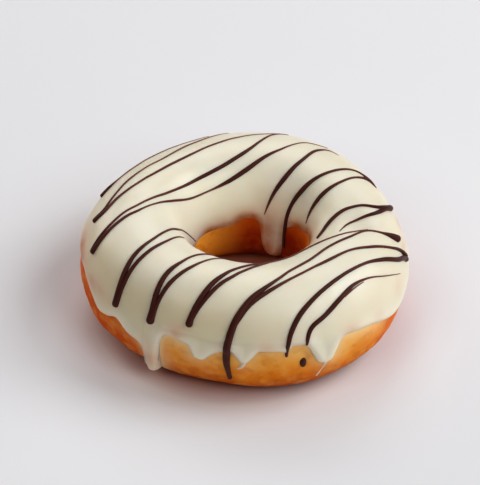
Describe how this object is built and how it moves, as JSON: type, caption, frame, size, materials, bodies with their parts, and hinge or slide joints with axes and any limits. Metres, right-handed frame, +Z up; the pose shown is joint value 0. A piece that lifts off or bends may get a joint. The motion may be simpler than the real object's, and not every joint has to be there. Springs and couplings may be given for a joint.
{
  "type": "ring doughnut",
  "caption": "Ring doughnut with pale icing that runs down its sides in drips, and dark chocolate drizzled in a thin zigzag over the crown.",
  "frame": {"origin": "middle of the whole box's base, on the plane that the doughnut rests on", "axes": "+Z up through the hole, -Y towards the viewer of the picture, +X to the viewer's right"},
  "size_m": [0.0916, 0.091, 0.034],
  "materials": {
    "baked_dough": "matt fried dough, golden brown",
    "ivory_icing": "satin ivory icing with dark chocolate drizzle"
  },
  "bodies": {
    "root": {"dough": "baked_dough", "icing": "ivory_icing"}
  },
  "joints": []
}
